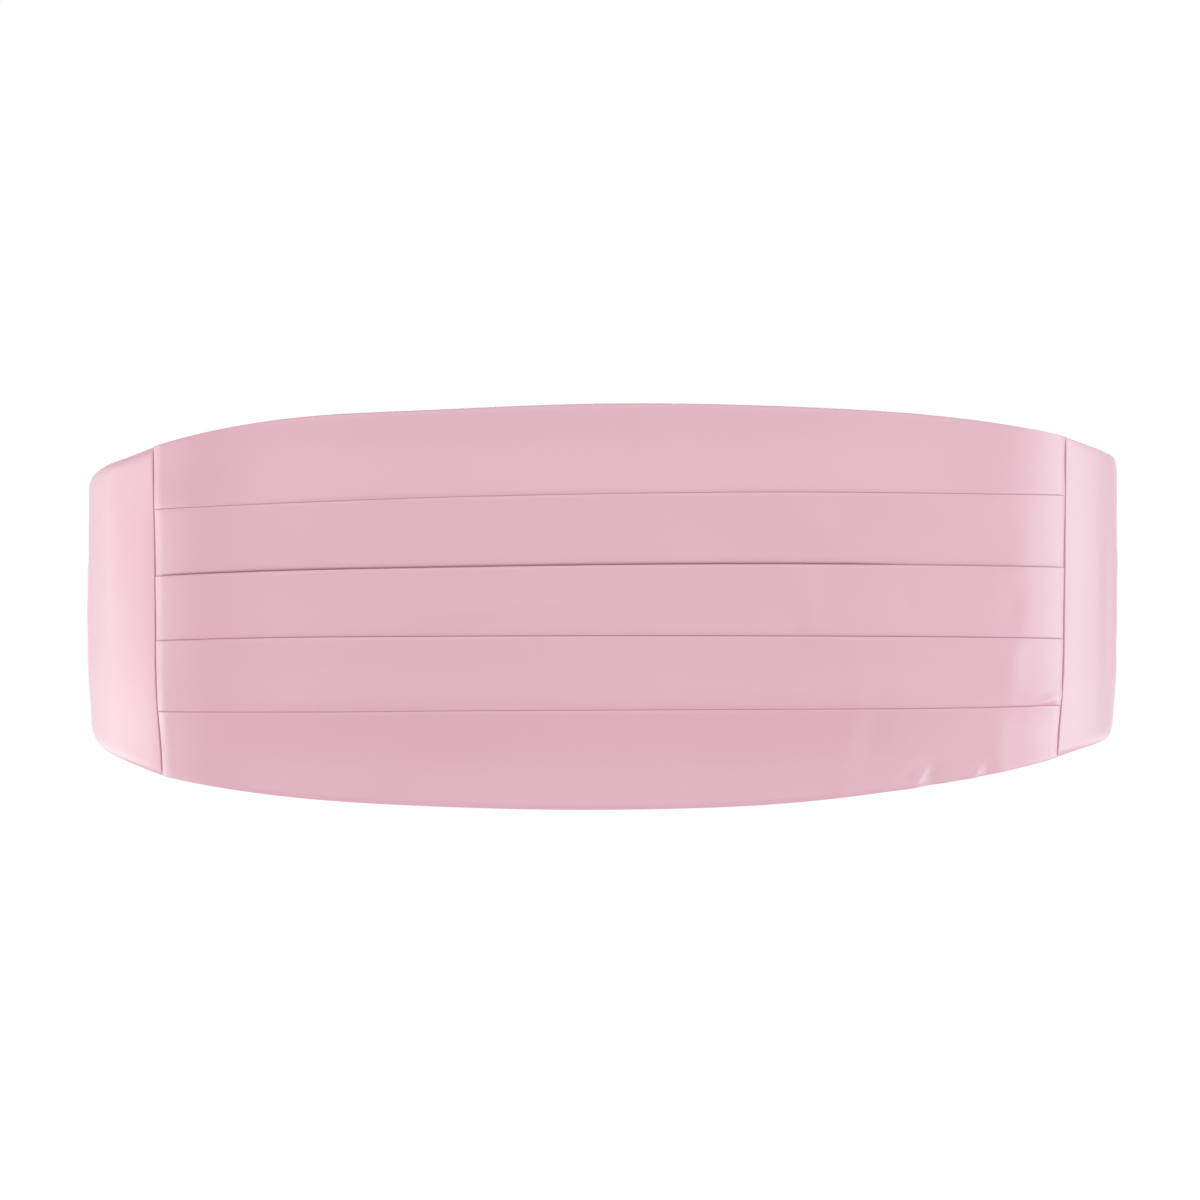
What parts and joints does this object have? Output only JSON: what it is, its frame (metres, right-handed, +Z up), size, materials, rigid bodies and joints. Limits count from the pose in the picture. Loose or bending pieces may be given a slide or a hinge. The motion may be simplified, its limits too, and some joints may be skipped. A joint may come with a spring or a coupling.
{
  "type": "pleated satin cummerbund",
  "caption": "Waist sash with a horizontally pleated front, tapering side panels and a hooked, adjustable back strap, shaped as worn round an empty waist.",
  "frame": {"origin": "middle of the waist hollow, level with the strap's middle", "axes": "+Z up the wearer, -Y the pleated front, +X to the right in a front view"},
  "size_m": [0.3484, 0.2426, 0.1301],
  "materials": {
    "front_satin": "smooth pale pink satin with a soft sheen",
    "wing_satin": "smooth pale pink satin with a soft sheen",
    "strap_tape": "matching pink woven tape, matt",
    "bright_metal": "bright nickel plate"
  },
  "bodies": {
    "root": {"pleated_front": "front_satin", "wing_left": "wing_satin", "wing_right": "wing_satin", "strap_long": "strap_tape", "strap_short": "strap_tape", "slider": "bright_metal", "hook": "bright_metal", "eye": "bright_metal"}
  },
  "joints": []
}
